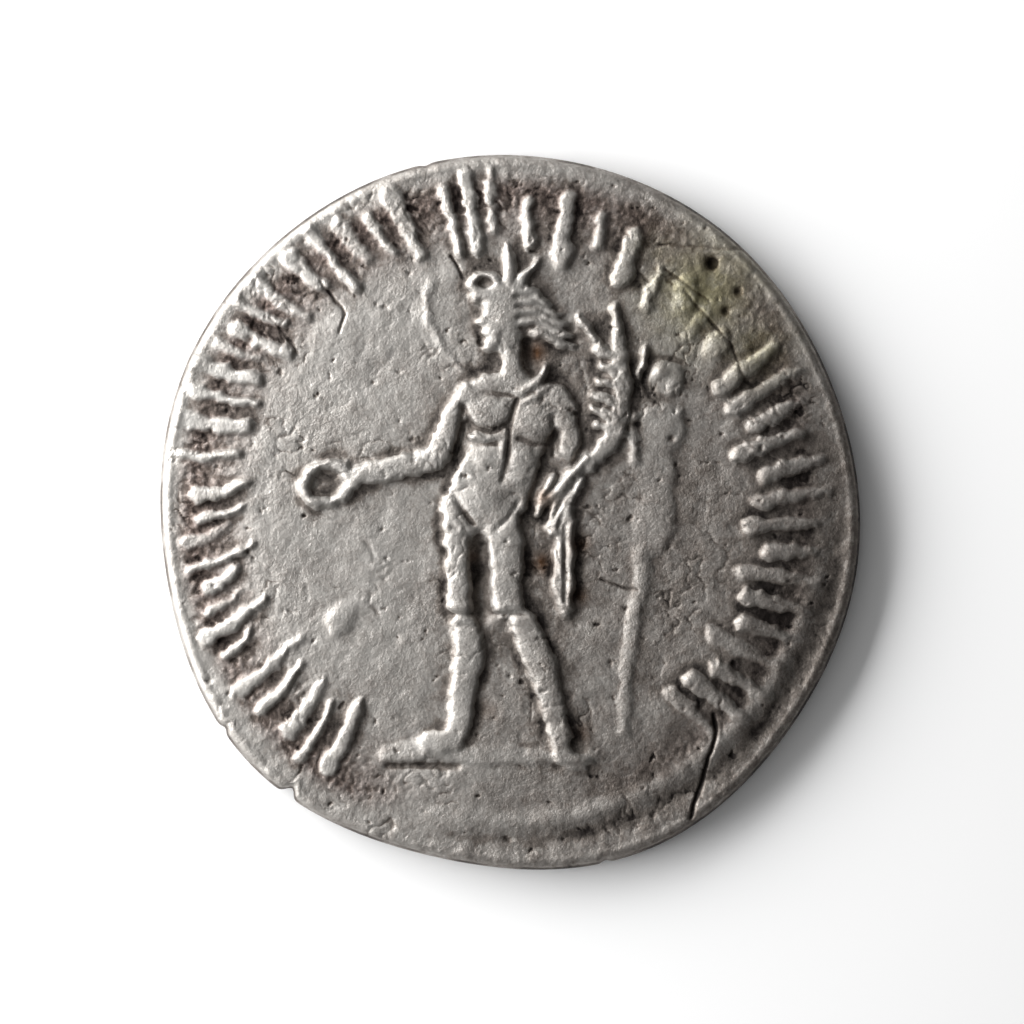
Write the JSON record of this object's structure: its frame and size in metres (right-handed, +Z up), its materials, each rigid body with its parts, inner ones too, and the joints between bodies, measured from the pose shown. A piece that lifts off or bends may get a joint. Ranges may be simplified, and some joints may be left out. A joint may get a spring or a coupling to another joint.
{
  "type": "silver coin",
  "caption": "Hammered silver coin lying flat, with an uneven rim, a standing figure with dish and horn on one face and a worn crowned bust on the other.",
  "frame": {"origin": "under the middle of the coin's outline, on the surface that it lies on", "axes": "+Z up out of the figure side, +Y towards the standing figure's head, +X to the viewer's right"},
  "size_m": [0.0219, 0.0224, 0.0018],
  "materials": {
    "toned_silver": "worn struck silver, satin on the high points, with brown-grey toning in the hollows"
  },
  "bodies": {
    "root": {"coin": "toned_silver"}
  },
  "joints": []
}
